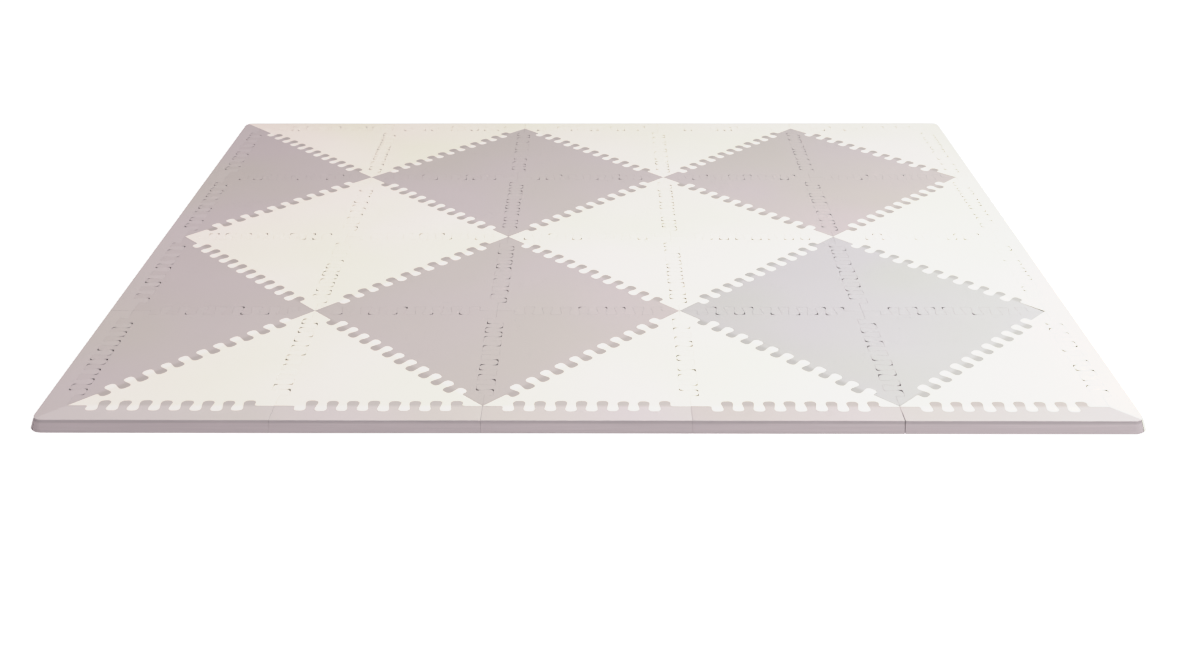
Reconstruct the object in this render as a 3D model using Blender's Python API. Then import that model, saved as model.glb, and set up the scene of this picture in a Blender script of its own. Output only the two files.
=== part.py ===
"""Interlocking foam play mat: triangular tiles in two colours inside a frame of border strips.

Metres, +Z up. The mat lies flat with its underside at z = 0 and its middle at x = y = 0.
Columns run from left to right along +X and rows from front to back along +Y.
"""

from math import cos, pi, radians, sin

import bmesh
import bpy
from mathutils import Vector

# Driving dimensions
COLUMNS = 5
ROWS = 4
CELL = 0.335
THICKNESS = 0.020
GAP = 0.0003

# Border strips
BORDER = 0.043
SIDE_SPREAD = 0.007
CORNER_RADIUS = 0.010
CORNER_STEPS = 3

# Jigsaw teeth: a knob's head is a share of the pitch, and its flat top lies this far from the seam
KNOB_REACH = 0.0145
HEAD_SHARE = 0.58
LEG_MARGIN = 0.042
DIAGONAL_MARGIN = 0.061

# Knobs on each side of a seam: where both pieces have one colour, the knobs are fewer and wider
DIAGONAL_KNOBS = 11
FRONT_KNOBS = 8
PLAIN_KNOBS = 5

# Foam colours: base colour, roughness
FOAMS = {
    "tile_grey": ((0.56, 0.50, 0.49), 0.80),
    "tile_cream": ((0.86, 0.80, 0.72), 0.80),
    "strip_grey": ((0.58, 0.52, 0.51), 0.78),
    "strip_cream": ((0.87, 0.81, 0.73), 0.78),
}


def clear_scene():
    for obj in list(bpy.data.objects):
        bpy.data.objects.remove(obj, do_unlink=True)


def foam(name):
    """Matte foam in the colour of one kind of piece."""
    colour, roughness = FOAMS[name]
    material = bpy.data.materials.new(name)
    material.use_nodes = True
    shader = material.node_tree.nodes["Principled BSDF"]
    shader.inputs["Base Color"].default_value = (*colour, 1.0)
    shader.inputs["Roughness"].default_value = roughness
    shader.inputs["Metallic"].default_value = 0.0
    material.diffuse_color = (*colour, 1.0)
    return material


def seam(start, end, knobs, margin):
    """Jigsaw seam from start up to, but not at, end.

    Knobs stand by turns on the right and on the left of the way there. Read from the other end the
    line is the same, so the two pieces at a seam both draw it with their own interior on the left.
    """
    way = (end - start).normalized()
    left = Vector((-way.y, way.x))
    length = (end - start).length
    pitch = (length - 2 * margin) / (knobs - 0.5)
    half_head = HEAD_SHARE * pitch / 2
    quarter = pitch / 4
    points = [start, start + way * (margin - quarter)]
    for turn in range(2 * knobs):
        middle = start + way * (margin + turn * pitch / 2)
        top = middle + left * (KNOB_REACH if turn % 2 else -KNOB_REACH)
        points += [top - way * half_head, top + way * half_head]
    points.append(start + way * (length - margin + quarter))
    return points


def drawn_in(outline, amount):
    """The same anticlockwise outline with every side moved inwards by amount."""
    moved = []
    for k, point in enumerate(outline):
        before = (point - outline[k - 1]).normalized()
        after = (outline[(k + 1) % len(outline)] - point).normalized()
        normals = Vector((-before.y, before.x)), Vector((-after.y, after.x))
        mitre = 1 + normals[0].dot(normals[1])
        moved.append(point + (normals[0] + normals[1]) * (amount / mitre))
    return moved


def slab(name, low, high):
    """Closed slab between an outline on the floor and the matching outline at the top."""
    low = drawn_in(low, GAP / 2)
    high = drawn_in(high, GAP / 2)
    bm = bmesh.new()
    bottom = bm.faces.new([bm.verts.new((p.x, p.y, 0.0)) for p in low])
    raised = bmesh.ops.extrude_face_region(bm, geom=[bottom], use_keep_orig=True)["geom"]
    top = next(item for item in raised if isinstance(item, bmesh.types.BMFace))
    for vertex, point in zip(top.verts, high):
        vertex.co = (point.x, point.y, THICKNESS)
    bmesh.ops.recalc_face_normals(bm, faces=bm.faces)
    mesh = bpy.data.meshes.new(name)
    bm.to_mesh(mesh)
    bm.free()
    return mesh


def tile_mesh(first_knobs, second_knobs):
    """Triangular tile with its right angle at the origin, its legs along +Y and +X."""
    square_corner = Vector((0.0, 0.0))
    right = Vector((CELL, 0.0))
    back = Vector((0.0, CELL))
    outline = seam(back, square_corner, first_knobs, LEG_MARGIN)
    outline += seam(square_corner, right, second_knobs, LEG_MARGIN)
    outline += seam(right, back, DIAGONAL_KNOBS, DIAGONAL_MARGIN)
    return slab("tile", outline, outline)


def strip_end(x, turn, at_mat_corner, spread):
    """Outer points at one end of a strip: turn is -1 at its left end and 1 at its right end."""
    reach = BORDER + GAP / 2
    if not at_mat_corner:
        return [Vector((x, -reach - spread))]
    centre = Vector((x + turn * (reach - CORNER_RADIUS), CORNER_RADIUS - reach))
    radius = CORNER_RADIUS + spread
    points = []
    for step in range(CORNER_STEPS + 1):
        angle = pi / 4 * (1 + step / CORNER_STEPS)
        points.append(centre + radius * Vector((turn * cos(angle), -sin(angle))))
    return points


def strip_mesh(starts_mat, ends_mat, knobs):
    """Border strip one cell long on the +X axis, jigsaw side up, with mitred ends at mat corners."""
    left = Vector((0.0, 0.0))
    right = Vector((CELL, 0.0))
    inner = seam(right, left, knobs, LEG_MARGIN) + [left]
    outlines = []
    for spread in (SIDE_SPREAD, 0.0):
        outer = strip_end(left.x, -1, starts_mat, spread)
        outer += reversed(strip_end(right.x, 1, ends_mat, spread))
        outlines.append(outer + inner)
    return slab("strip", *outlines)


def grid_corner(column, row):
    return Vector(((column - COLUMNS / 2) * CELL, (row - ROWS / 2) * CELL, 0.0))


def place(name, mesh, material, corner, quarter_turns, mat):
    """One piece of the mat, turned about its own origin and set on a grid corner."""
    piece = bpy.data.objects.new(name, mesh)
    piece.location = corner
    piece.rotation_euler.z = radians(90 * quarter_turns)
    piece.parent = mat
    mesh.materials.append(material)
    bpy.context.scene.collection.objects.link(piece)


def build_tiles(mat, foams):
    """Two tiles in each cell, each with its right angle at the grid corner of its own colour."""
    for column in range(COLUMNS):
        for row in range(ROWS):
            around = [(column, row), (column + 1, row), (column + 1, row + 1), (column, row + 1)]
            for turn, (i, j) in enumerate(around):
                if i % 2 == j % 2:
                    continue
                colour = "cream" if i % 2 else "grey"
                before_is_front = around[turn - 1][1] == 0 and j == 0
                after_is_front = around[(turn + 1) % 4][1] == 0 and j == 0
                mesh = tile_mesh(
                    FRONT_KNOBS if before_is_front else PLAIN_KNOBS,
                    FRONT_KNOBS if after_is_front else PLAIN_KNOBS,
                )
                name = f"tile_{colour}_{column + 1}_{row + 1}"
                place(name, mesh, foams[f"tile_{colour}"], grid_corner(i, j), turn, mat)


def build_strips(mat, foams):
    """Border strips, numbered anticlockwise along each side of the mat."""
    sides = (
        ("front", "grey", COLUMNS, FRONT_KNOBS, grid_corner(0, 0), Vector((1, 0, 0))),
        ("right", "cream", ROWS, PLAIN_KNOBS, grid_corner(COLUMNS, 0), Vector((0, 1, 0))),
        ("back", "cream", COLUMNS, PLAIN_KNOBS, grid_corner(COLUMNS, ROWS), Vector((-1, 0, 0))),
        ("left", "grey", ROWS, PLAIN_KNOBS, grid_corner(0, ROWS), Vector((0, -1, 0))),
    )
    for turn, (side, colour, count, knobs, start, way) in enumerate(sides):
        for k in range(count):
            mesh = strip_mesh(k == 0, k == count - 1, knobs)
            name = f"strip_{colour}_{side}_{k + 1}"
            place(name, mesh, foams[f"strip_{colour}"], start + way * (k * CELL), turn, mat)


def main():
    clear_scene()
    mat = bpy.data.objects.new("mat", None)
    bpy.context.scene.collection.objects.link(mat)
    foams = {name: foam(name) for name in FOAMS}
    build_tiles(mat, foams)
    build_strips(mat, foams)


main()
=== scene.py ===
"""Looks of the interlocking foam play mat: every tile and border strip as cut foam, on a pale floor.

Metres, +Z up, front along -Y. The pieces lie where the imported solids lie, and each replaces its own.
"""

from math import copysign, cos, pi, radians, sin
from random import Random

import bmesh
import bpy
from mathutils import Matrix, Vector, noise


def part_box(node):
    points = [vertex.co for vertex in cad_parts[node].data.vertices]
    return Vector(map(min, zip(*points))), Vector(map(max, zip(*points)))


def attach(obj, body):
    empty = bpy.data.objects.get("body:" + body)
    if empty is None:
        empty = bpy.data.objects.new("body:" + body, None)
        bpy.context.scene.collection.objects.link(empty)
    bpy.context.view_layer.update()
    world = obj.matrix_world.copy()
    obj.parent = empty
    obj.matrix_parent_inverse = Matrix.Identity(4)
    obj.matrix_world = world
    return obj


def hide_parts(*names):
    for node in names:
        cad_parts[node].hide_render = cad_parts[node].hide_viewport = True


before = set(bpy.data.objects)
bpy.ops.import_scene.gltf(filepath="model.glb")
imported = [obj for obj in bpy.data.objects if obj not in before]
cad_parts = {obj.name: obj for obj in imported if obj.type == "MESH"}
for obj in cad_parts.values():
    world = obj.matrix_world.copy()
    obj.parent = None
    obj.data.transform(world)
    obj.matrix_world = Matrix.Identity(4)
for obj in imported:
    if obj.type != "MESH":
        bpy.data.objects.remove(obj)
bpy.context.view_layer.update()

# Mat: cells, thickness and border as in the solids
COLUMNS = 5
ROWS = 4
CELL = 0.335
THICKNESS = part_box("tile_grey_1_1")[1].z
BORDER = 0.043
SIDE_SPREAD = 0.008
CORNER_RADIUS = 0.017
CORNER_STEPS = 8

# Jigsaw teeth, and how much each knob may differ from the even ones
GAP = 0.0001
HEAD_SHARE = 0.64
LEG = {"knobs": 8, "margin": 0.042, "reach": 0.0154}
DIAGONAL = {"knobs": 11, "margin": 0.061, "reach": 0.0144}
PLACE_SLIP = 0.0006
REACH_SLIP = 0.0007
HEAD_SLIP = 0.0004

# Rounding of knob corners, as the distance cut off each side. Where an outer corner is cut back more
# than the hollow it sits in, a small hole shows in the seam. The shares of such open corners are for
# seams from side to side and for seams from front to back.
CUTS = {"sharp": 0, "end": 0.0003, "shoulder": 0.0048, "snug": 0.0082}
TIGHT_CUT = 0.0036
OPEN_CUTS = (0.0086, 0.0094, 0.0101)
CUT_STEPS = 4
OPEN_WIDE = (0.05, 0.35)
OPEN_DEEP = (0.35, 0.85)

# Rims and surface
RIM = 0.0002
RIM_STEPS = 2
EDGE_FALL = 0.0005
EDGE_FALL_WIDTH = 0.0036
GRID_STEP = 0.042
GRID_START = 0.37
WAVE = 0.0005
WAVE_LENGTH = 0.22
KNOB_BAND = 0.004

# Outer sides: a lip at the top, hollow lines under it, and strip ends that stand a little apart
SIDE_LINES = (0.10, 0.25, 0.42, 0.60, 0.74, 0.84, 0.92)
SPREAD_FADE = 0.012
LIP = 0.0006
LIP_HEIGHT = 0.84
LIP_WIDTH = 0.16
SIDE_RIPPLE = 0.00015
RIPPLE_SCALE = Vector((9, 9, 400))
END_OPENING = (0, 0.00005)
WIDE_OPENING = 0.0004
WIDE_ENDS = ((4, 0), (0, 1))

# Where the tips of the grey tiles at the right side are pressed down
PRESSED = {(5, 1): 0.0022, (5, 3): 0.0014}
PRESSED_WIDTH = 0.075

# Foam colours: the top skin drifts softly from the first of its two colours to the second
TOP_COLOURS = {
    "grey": ((0.555, 0.507, 0.492), (0.565, 0.503, 0.518)),
    "cream": ((0.855, 0.826, 0.740), (0.890, 0.824, 0.785)),
}
# Knob tips reaching into the other colour: darker grey as painted shade, paler cream as a painted highlight
KNOB_SHADE_AND_HIGHLIGHT = {"grey": (0.475, 0.425, 0.415), "cream": (0.895, 0.850, 0.815)}
SIDE_COLOURS = {"grey": (0.500, 0.422, 0.446), "cream": (0.830, 0.780, 0.700)}

# Tints: every piece has a random batch tint of its own; the grey strips are made paler and the grey tiles at
# the right more neutral, both as painted light
BATCH_DYE = (0.985, 0.980, 0.980)
# Painted light: the grey tiles at the right made more neutral and a little brighter, for the cooler,
# stronger light there
PAINTED_COOL_LIGHT_TINT = (0.985, 1.050, 1.060)
PAINTED_COOL_LIGHT_PIECES = ("tile_grey_4_1", "tile_grey_4_2", "tile_grey_5_1", "tile_grey_5_2")
# Painted light: grey strips made paler, most of all at the front left, for light that the lamps give them
# too little of
PAINTED_LIGHT_TINT = (1.14, 1.17, 1.17)
PAINTED_LIGHT_PIECES = {"strip_grey_front_1": 0.9, "strip_grey_front_2": 0.9, "strip_grey_front_3": 0.8}
PAINTED_LIGHT_STRIP = 0.3

# Brightness down a side, from the floor up to the rim: a little darker at the foot, painted shade in a band
# under the lip and a painted highlight along the rim
SIDE_PAINTED_LIGHT = ((0.0, 0.94), (0.25, 1.0), (0.68, 1.0), (0.77, 0.84), (0.93, 0.84), (0.98, 1.15))

# Scales of the foam's patterns: a soft mottle, the drift between two shades, pebble and level lines
MOTTLE_SCALE = 7
DRIFT_SCALE = 3
PEBBLE_SCALE = 900
PEBBLE_DEPTH = 0.0004
LINE_SCALE = (9, 9, 620)

# Picture tones: the light that a surface sends, and the light that the picture shows
TONES = ((0.0, 0.0), (0.4, 0.4), (0.6, 0.6), (0.8, 0.8), (1.0, 0.884), (1.2, 0.927), (1.3, 1.0))

chance = Random(11)
seams = {}


def grid_corner(column, row):
    return Vector(((column - COLUMNS / 2) * CELL, (row - ROWS / 2) * CELL))


def cut_seam(start, end):
    """Knob corners of the cut from one grid corner to another, both left out.

    The first knob stands to the right of the way there and the last one to the left.
    """
    start_point = grid_corner(*start)
    run = grid_corner(*end) - start_point
    way = run.normalized()
    left = Vector((-way.y, way.x))
    teeth = LEG if 0 in (run.x, run.y) else DIAGONAL
    knobs = teeth["knobs"]
    margin = teeth["margin"]
    pitch = (run.length - 2 * margin) / (knobs - 0.5)
    points = [start_point + way * (margin - pitch / 4)]
    for turn in range(2 * knobs):
        along = margin + turn * pitch / 2 + chance.uniform(-PLACE_SLIP, PLACE_SLIP)
        reach = teeth["reach"] + chance.uniform(-REACH_SLIP, REACH_SLIP)
        half_head = HEAD_SHARE * pitch / 2 + chance.uniform(-HEAD_SLIP, HEAD_SLIP)
        top = start_point + way * along + left * (reach if turn % 2 else -reach)
        points += [top - way * half_head, top + way * half_head]
    points.append(start_point + way * (run.length - margin + pitch / 4))
    return points


def seam(start, end):
    """The same cut for the pieces on both of its sides, read from start to end."""
    if (end, start) in seams:
        return seams[end, start][::-1]
    if (start, end) not in seams:
        seams[start, end] = cut_seam(start, end)
    return seams[start, end]


def joins_colours(start, end):
    """Diagonal seams join the two colours, and so do those along the front."""
    return start[0] != end[0] and (start[1] != end[1] or start[1] == 0)


def seam_fit(start, end):
    """Seams between two colours are snug. Others have a share of open corners, most from front to back."""
    if joins_colours(start, end):
        return "snug"
    return chance.uniform(*(OPEN_DEEP if start[0] == end[0] else OPEN_WIDE))


def add_seam(outline, kinds, start, end):
    """Adds a grid corner, and the cut from there to the next one, to a piece's outline."""
    points = seam(start, end)
    outline += [grid_corner(*start), *points]
    kinds += ["sharp", "shoulder", *[seam_fit(start, end)] * (len(points) - 2), "shoulder"]


def colour_line(start, end):
    """A point on the straight line of a seam between two colours, and the way into the piece on its left."""
    way = (grid_corner(*end) - grid_corner(*start)).normalized()
    return [(grid_corner(*start), Vector((-way.y, way.x)))] if joins_colours(start, end) else []


def drawn_in(outline, amount):
    """The same anticlockwise outline with every side moved inwards by amount."""
    moved = []
    for k, point in enumerate(outline):
        before = (point - outline[k - 1]).normalized()
        after = (outline[(k + 1) % len(outline)] - point).normalized()
        normals = Vector((-before.y, before.x)), Vector((-after.y, after.x))
        mitre = 1 + normals[0].dot(normals[1])
        moved.append(point + (normals[0] + normals[1]) * (amount / mitre))
    return moved


def outer_edge(point):
    """How far a point lies inside the mat's outer top edge, and the way straight out from there."""
    reach = BORDER - CORNER_RADIUS
    over = Vector((abs(point.x) - COLUMNS / 2 * CELL - reach, abs(point.y) - ROWS / 2 * CELL - reach))
    if over.x > 0 and over.y > 0:
        inside = CORNER_RADIUS - over.length
        out = over.normalized()
    else:
        inside = CORNER_RADIUS - max(over)
        out = Vector((1, 0)) if over.x > over.y else Vector((0, 1))
    return inside, Vector((copysign(out.x, point.x), copysign(out.y, point.y), 0))


def corner_cut(outline, k, kind):
    """The distance cut off at a corner. A number is the share of the seam's corners that are open."""
    if kind in CUTS:
        return CUTS[kind]
    before = outline[k] - outline[k - 1]
    after = outline[(k + 1) % len(outline)] - outline[k]
    if before.cross(after) > 0 and chance.random() < kind:
        return chance.choice(OPEN_CUTS)
    return TIGHT_CUT


def foam_mesh(node, colour, outline, kinds, colour_lines):
    """Cut foam of the mat's thickness: rounded knobs, soft rims, sides that spread at the mat's edge."""
    bm = bmesh.new()
    corners = [bm.verts.new((point.x, point.y, 0)) for point in drawn_in(outline, GAP / 2)]
    bm.faces.new(corners)
    cuts = [corner_cut(outline, k, kind) for k, kind in enumerate(kinds)]
    for size in sorted(set(cuts) - {0}):
        bmesh.ops.bevel(
            bm, geom=[corner for corner, cut in zip(corners, cuts) if cut == size], affect="VERTICES",
            offset=size, offset_type="OFFSET", segments=CUT_STEPS, profile=0.5, material=-1,
        )
    raised = bmesh.ops.extrude_face_region(bm, geom=bm.faces[:], use_keep_orig=True)["geom"]
    top = [item for item in raised if isinstance(item, bmesh.types.BMVert)]
    bmesh.ops.translate(bm, verts=top, vec=(0, 0, THICKNESS))
    bmesh.ops.recalc_face_normals(bm, faces=bm.faces)
    rims = [e for e in bm.edges if abs(e.verts[0].co.z - e.verts[1].co.z) < THICKNESS / 2]
    bmesh.ops.bevel(
        bm, geom=rims, affect="EDGES", offset=RIM, offset_type="OFFSET",
        segments=RIM_STEPS, profile=0.5, material=-1,
    )
    large = [f for f in bm.faces if len(f.verts) > 4]
    bmesh.ops.triangulate(bm, faces=large)
    cut_for_bending(bm, colour_lines)
    mark_knobs(bm, colour_lines)
    mark_dye_and_light(bm, node)
    shape_surface(bm, colour)
    mesh = bpy.data.meshes.new(node)
    bm.to_mesh(mesh)
    bm.free()
    mesh.shade_smooth()
    return mesh


def cut_faces(bm, faces, point, normal):
    """Cuts these faces where a plane meets them."""
    edges = {e for f in faces for e in f.edges}
    verts = {v for f in faces for v in f.verts}
    bmesh.ops.bisect_plane(
        bm, geom=[*verts, *edges, *faces], dist=1e-6, plane_co=point, plane_no=normal,
    )


def top_faces(bm):
    return [f for f in bm.faces if f.normal.z > 0.99]


def outer_faces(bm):
    """The faces round the mat's outer sides, with their rims."""
    return [f for f in bm.faces if outer_edge(f.calc_center_median())[0] < RIM]


def cut_for_bending(bm, colour_lines):
    """Lines to bend at: a grid, two beside the mat's edge, one each side of a seam, and round the sides."""
    half = Vector((COLUMNS / 2 * CELL + BORDER, ROWS / 2 * CELL + BORDER))
    for axis in range(2):
        low = min(v.co[axis] for v in bm.verts)
        high = max(v.co[axis] for v in bm.verts)
        steps = range(int(low / GRID_STEP) - 1, int(high / GRID_STEP) + 2)
        places = [(step + GRID_START) * GRID_STEP for step in steps]
        near = (EDGE_FALL_WIDTH / 3, EDGE_FALL_WIDTH)
        places += [side * (half[axis] - inside) for side in (-1, 1) for inside in near]
        normal = Vector((0, 0, 0))
        normal[axis] = 1
        for place in places:
            if low + 2 * RIM < place < high - 2 * RIM:
                cut_faces(bm, top_faces(bm) + outer_faces(bm), normal * place, normal)
    for point, inward in colour_lines:
        for offset in (-KNOB_BAND, KNOB_BAND):
            cut_faces(bm, top_faces(bm), (point + inward * offset).to_3d(), inward.to_3d())
    for share in SIDE_LINES:
        if outer_faces(bm):
            cut_faces(bm, outer_faces(bm), (0, 0, share * THICKNESS), (0, 0, 1))


def mark_knobs(bm, colour_lines):
    """Marks how far each point belongs to a knob that reaches into the other colour, from 0 to 1. The mark
    sets where knob tips get painted shade on grey and a painted highlight on cream.
    """
    knob = bm.verts.layers.float.new("knob")
    for vertex in bm.verts:
        depths = [(vertex.co.xy - point).dot(inward) for point, inward in colour_lines]
        if depths:
            vertex[knob] = min(1, max(0, (1 - min(depths) / KNOB_BAND) / 2))


def mark_dye_and_light(bm, node):
    """Marks the whole piece with its share of each tint: its batch, the painted light that makes grey strips
    paler and the painted cooler light on the grey tiles at the right.
    """
    shares = {
        "batch": chance.random(),
        "pale": PAINTED_LIGHT_PIECES.get(node, PAINTED_LIGHT_STRIP if node.startswith("strip_grey") else 0),
        "neutral": 1 if node in PAINTED_COOL_LIGHT_PIECES else 0,
    }
    for dye_and_light, share in shares.items():
        layer = bm.verts.layers.float.new(dye_and_light)
        for vertex in bm.verts:
            vertex[layer] = share


def shape_surface(bm, colour):
    """Spreads the mat's outer sides, rounds its outer edge and bends the top a little."""
    for vertex in bm.verts:
        point = vertex.co.copy()
        height = point.z / THICKNESS
        inside, out = outer_edge(point)
        spread = SIDE_SPREAD * (1 - height)
        if inside < RIM / 2 and 0.05 < height < 0.95:
            ripple = noise.noise(point * RIPPLE_SCALE)
            hollow = max(0, 1 - abs(height - LIP_HEIGHT) / LIP_WIDTH)
            spread += SIDE_RIPPLE * ripple - LIP * hollow
        drop = EDGE_FALL * max(0, 1 - max(inside, 0) / EDGE_FALL_WIDTH) ** 2
        if colour == "grey":
            for corner, depth in PRESSED.items():
                away = (point.xy - grid_corner(*corner)).length
                drop += depth * max(0, 1 - away / PRESSED_WIDTH) ** 2
        wave = WAVE * noise.noise(point.xy.to_3d() / WAVE_LENGTH)
        vertex.co += out * (spread * max(0, 1 - max(inside, 0) / SPREAD_FADE))
        vertex.co.z += height * (wave - drop)


def mixed(tree, factor, low, high, kind="MIX"):
    """A Mix node. Each part is a socket, a number or a colour."""
    node = tree.nodes.new("ShaderNodeMix")
    node.data_type = "RGBA"
    node.blend_type = kind
    for name, value in (("Factor", factor), ("A", low), ("B", high)):
        if isinstance(value, bpy.types.NodeSocket):
            tree.links.new(value, node.inputs[name])
        else:
            node.inputs[name].default_value = value
    return node.outputs["Result"]


def shaded(colour, share):
    return (*[min(1, part * share) for part in colour], 1)


def noise_on(tree, vector, scale, detail):
    node = tree.nodes.new("ShaderNodeTexNoise")
    node.inputs["Scale"].default_value = scale
    node.inputs["Detail"].default_value = detail
    tree.links.new(vector, node.inputs["Vector"])
    return node.outputs["Fac"]


def reading(tree, name):
    """The value of one of the marks on a piece's points."""
    node = tree.nodes.new("ShaderNodeAttribute")
    node.attribute_name = name
    return node.outputs["Fac"]


def spread_over(tree, value, low, high):
    """The value as a share of the way from low to high."""
    node = tree.nodes.new("ShaderNodeMapRange")
    node.inputs["From Min"].default_value = low
    node.inputs["From Max"].default_value = high
    tree.links.new(value, node.inputs["Value"])
    return node.outputs["Result"]


def foam(name):
    """Closed-cell foam: a smooth skin with a fine pebble, and sides with the level lines of the cut."""
    material = bpy.data.materials.new(f"eva_foam_{name}")
    material.use_nodes = True
    tree = material.node_tree
    shader = tree.nodes["Principled BSDF"]
    shader.inputs["Roughness"].default_value = 0.78
    shader.inputs["Specular IOR Level"].default_value = 0.3
    place = tree.nodes.new("ShaderNodeTexCoord").outputs["Object"]

    mottle = noise_on(tree, place, MOTTLE_SCALE, 4)
    drift = spread_over(tree, noise_on(tree, place, DRIFT_SCALE, 1), 0.35, 0.65)
    skin = mixed(tree, drift, *[shaded(colour, 1) for colour in TOP_COLOURS[name]])
    skin = mixed(tree, 1.0, skin, mixed(tree, mottle, (0.97, 0.97, 0.97, 1), (1, 1, 1, 1)), "MULTIPLY")
    # Painted shade on grey knob tips, painted highlight on cream ones
    knob = mixed(tree, mottle, shaded(KNOB_SHADE_AND_HIGHLIGHT[name], 0.98), shaded(KNOB_SHADE_AND_HIGHLIGHT[name], 1.02))
    skin = mixed(tree, reading(tree, "knob"), skin, knob)
    # The batch tint is the foam's own; the paler and the more neutral tints are painted light
    for dye_and_light, tint in (("batch", BATCH_DYE), ("pale", PAINTED_LIGHT_TINT), ("neutral", PAINTED_COOL_LIGHT_TINT)):
        dyed_and_lit = mixed(tree, 1.0, skin, (*tint, 1), "MULTIPLY")
        skin = mixed(tree, reading(tree, dye_and_light), skin, dyed_and_lit)

    stretch = tree.nodes.new("ShaderNodeMapping")
    stretch.inputs["Scale"].default_value = LINE_SCALE
    tree.links.new(place, stretch.inputs["Vector"])
    lines = noise_on(tree, stretch.outputs["Vector"], 1, 2)
    side = mixed(tree, lines, shaded(SIDE_COLOURS[name], 0.88), shaded(SIDE_COLOURS[name], 1.08))
    split = tree.nodes.new("ShaderNodeSeparateXYZ")
    tree.links.new(place, split.inputs["Vector"])
    # Side brightness by height: painted shade under the lip, painted highlight at the rim
    shades = tree.nodes.new("ShaderNodeValToRGB")
    ramp = shades.color_ramp.elements
    while len(ramp) < len(SIDE_PAINTED_LIGHT):
        ramp.new(0.5)
    for element, (height, shade) in zip(ramp, SIDE_PAINTED_LIGHT):
        element.position = height
        element.color = (shade, shade, shade, 1)
    tree.links.new(spread_over(tree, split.outputs["Z"], 0, THICKNESS), shades.inputs["Fac"])
    side = mixed(tree, 1.0, side, shades.outputs["Color"], "MULTIPLY")

    facing = tree.nodes.new("ShaderNodeSeparateXYZ")
    tree.links.new(tree.nodes.new("ShaderNodeNewGeometry").outputs["Normal"], facing.inputs["Vector"])
    upward = spread_over(tree, facing.outputs["Z"], 0.45, 0.75)
    tree.links.new(mixed(tree, upward, side, skin), shader.inputs["Base Color"])

    relief = tree.nodes.new("ShaderNodeBump")
    relief.inputs["Strength"].default_value = 0.35
    relief.inputs["Distance"].default_value = PEBBLE_DEPTH
    tree.links.new(noise_on(tree, place, PEBBLE_SCALE, 2), relief.inputs["Height"])
    tree.links.new(relief.outputs["Normal"], shader.inputs["Normal"])
    return material


def add_piece(node, colour, outline, kinds, colour_lines, foams):
    """One piece of foam in the place of its solid."""
    piece = bpy.data.objects.new(f"foam_{node}", foam_mesh(node, colour, outline, kinds, colour_lines))
    bpy.context.scene.collection.objects.link(piece)
    piece.data.materials.append(foams[colour])
    shading = piece.modifiers.new("even_shading", "WEIGHTED_NORMAL")
    shading.mode = "FACE_AREA"
    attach(piece, "root")
    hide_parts(node)


def add_tiles(foams):
    """Two tiles in each cell, each with its right angle at the grid corner of its own colour."""
    for column in range(COLUMNS):
        for row in range(ROWS):
            around = [(column, row), (column + 1, row), (column + 1, row + 1), (column, row + 1)]
            for turn, corner in enumerate(around):
                if corner[0] % 2 == corner[1] % 2:
                    continue
                colour = "cream" if corner[0] % 2 else "grey"
                tips = [around[turn - 1], corner, around[(turn + 1) % 4]]
                outline = []
                kinds = []
                colour_lines = []
                for start, end in zip(tips, [*tips[1:], tips[0]]):
                    add_seam(outline, kinds, start, end)
                    colour_lines += colour_line(start, end)
                node = f"tile_{colour}_{column + 1}_{row + 1}"
                add_piece(node, colour, outline, kinds, colour_lines, foams)


def strip_end(at, way, out, at_mat_corner):
    """Outer points and their kinds at the end of a strip that lies at this grid corner."""
    corner = grid_corner(*at)
    if not at_mat_corner:
        opening = WIDE_OPENING if at in WIDE_ENDS else chance.uniform(*END_OPENING)
        return [corner + out * BORDER - way * opening], ["end"]
    centre = corner + (way + out) * (BORDER - CORNER_RADIUS)
    points = []
    for step in range(CORNER_STEPS + 1):
        angle = pi / 4 * (1 + step / CORNER_STEPS)
        points.append(centre + CORNER_RADIUS * (way * cos(angle) + out * sin(angle)))
    return points, ["sharp"] * len(points)


def add_strips(foams):
    """Border strips, numbered anticlockwise along each side of the mat, as the solids are."""
    sides = (
        ("front", "grey", COLUMNS, (0, 0), (1, 0)),
        ("right", "cream", ROWS, (COLUMNS, 0), (0, 1)),
        ("back", "cream", COLUMNS, (COLUMNS, ROWS), (-1, 0)),
        ("left", "grey", ROWS, (0, ROWS), (0, -1)),
    )
    for side, colour, count, first, step in sides:
        way = Vector(step)
        out = Vector((way.y, -way.x))
        for k in range(count):
            start = (first[0] + k * step[0], first[1] + k * step[1])
            end = (start[0] + step[0], start[1] + step[1])
            outline, kinds = strip_end(start, -way, out, k == 0)
            far_points, far_kinds = strip_end(end, way, out, k == count - 1)
            outline += reversed(far_points)
            kinds += far_kinds
            add_seam(outline, kinds, end, start)
            outline.append(grid_corner(*start))
            kinds.append("sharp")
            node = f"strip_{colour}_{side}_{k + 1}"
            add_piece(node, colour, outline, kinds, colour_line(end, start), foams)


def add_floor():
    """A floor that shows as plain white and still lights the mat's sides from below."""
    bm = bmesh.new()
    bmesh.ops.create_grid(bm, x_segments=1, y_segments=1, size=20)
    mesh = bpy.data.meshes.new("floor")
    bm.to_mesh(mesh)
    bm.free()
    floor = bpy.data.objects.new("floor", mesh)
    bpy.context.scene.collection.objects.link(floor)
    material = bpy.data.materials.new("pale_floor")
    material.use_nodes = True
    shader = material.node_tree.nodes["Principled BSDF"]
    shader.inputs["Base Color"].default_value = (0.15, 0.15, 0.15, 1)
    shader.inputs["Roughness"].default_value = 0.9
    shader.inputs["Specular IOR Level"].default_value = 0.0
    shader.inputs["Emission Color"].default_value = (1, 1, 1, 1)
    shader.inputs["Emission Strength"].default_value = 1.32
    mesh.materials.append(material)


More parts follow.
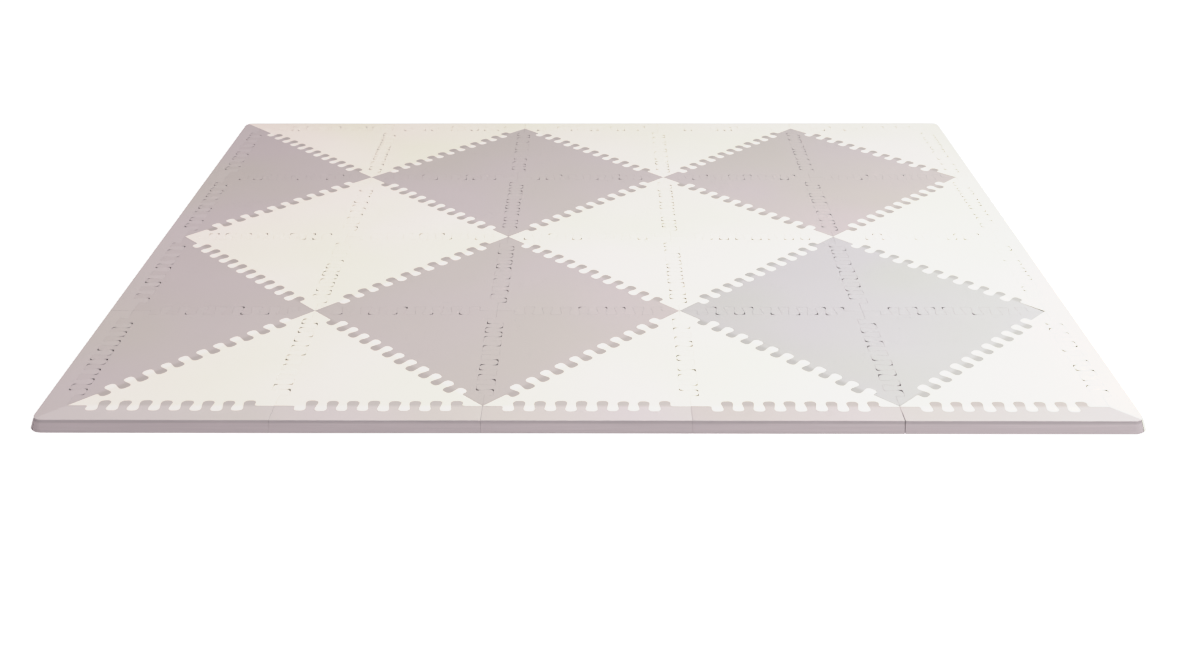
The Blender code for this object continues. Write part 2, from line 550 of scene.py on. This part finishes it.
def add_softbox(name, place, size, power, colour):
    """A soft lamp that shines straight down."""
    lamp = bpy.data.lights.new(name, "AREA")
    lamp.shape = "SQUARE"
    lamp.size = size
    lamp.energy = power
    lamp.color = colour
    softbox = bpy.data.objects.new(name, lamp)
    softbox.location = place
    softbox.visible_camera = False
    bpy.context.scene.collection.objects.link(softbox)


def add_sky():
    """Weak light from all round, and plain white behind the floor."""
    world = bpy.data.worlds.new("studio")
    bpy.context.scene.world = world
    world.use_nodes = True
    nodes = world.node_tree.nodes
    links = world.node_tree.links
    fill = nodes["Background"]
    fill.inputs["Color"].default_value = (1, 1, 1, 1)
    fill.inputs["Strength"].default_value = 0.12
    backdrop = nodes.new("ShaderNodeBackground")
    backdrop.inputs["Color"].default_value = (1, 1, 1, 1)
    backdrop.inputs["Strength"].default_value = 1.5
    seen = nodes.new("ShaderNodeLightPath")
    either = nodes.new("ShaderNodeMixShader")
    links.new(seen.outputs["Is Camera Ray"], either.inputs["Fac"])
    links.new(fill.outputs["Background"], either.inputs[1])
    links.new(backdrop.outputs["Background"], either.inputs[2])
    links.new(either.outputs["Shader"], nodes["World Output"].inputs["Surface"])


def add_camera():
    """The photograph's view, from the front and above, turned by a fraction of a degree."""
    azimuth = radians(0.45)
    elevation = radians(28.05)
    roll = radians(-0.16)
    target = Vector((0.0028, -0.4084, 0.020))
    distance = 2.3026
    back = Vector((sin(azimuth) * cos(elevation), -cos(azimuth) * cos(elevation), sin(elevation)))
    right = Vector((cos(azimuth), sin(azimuth), 0))
    up = back.cross(right)
    right, up = right * cos(roll) + up * sin(roll), up * cos(roll) - right * sin(roll)
    lens = bpy.data.cameras.new("camera")
    lens.lens = 39.36
    lens.sensor_width = 36
    camera = bpy.data.objects.new("camera", lens)
    turned = Matrix((right, up, back)).transposed().to_4x4()
    camera.matrix_world = Matrix.Translation(target + back * distance) @ turned
    bpy.context.scene.collection.objects.link(camera)
    bpy.context.scene.camera = camera


def set_tones():
    """A white floor, and creams held a little below it, as in a bright studio picture."""
    view = bpy.context.scene.view_settings
    view.view_transform = "Standard"
    view.use_curve_mapping = True
    mapping = view.curve_mapping
    white = TONES[-1][0]
    mapping.white_level = (white, white, white)
    curve = mapping.curves[3]
    for sent, shown in TONES[1:-1]:
        curve.points.new(sent / white, shown)
    mapping.update()


add_camera()
foams = {name: foam(name) for name in TOP_COLOURS}
add_tiles(foams)
add_strips(foams)
add_floor()
add_sky()
add_softbox("key_softbox", place=(2.062, -0.9, 3.164), size=1.6, power=158, colour=(0.923, 1.0, 0.968))
add_softbox("fill_softbox", place=(-1.5, 0.016, 4.0), size=2.0, power=80, colour=(1.0, 0.84, 0.85))
set_tones()
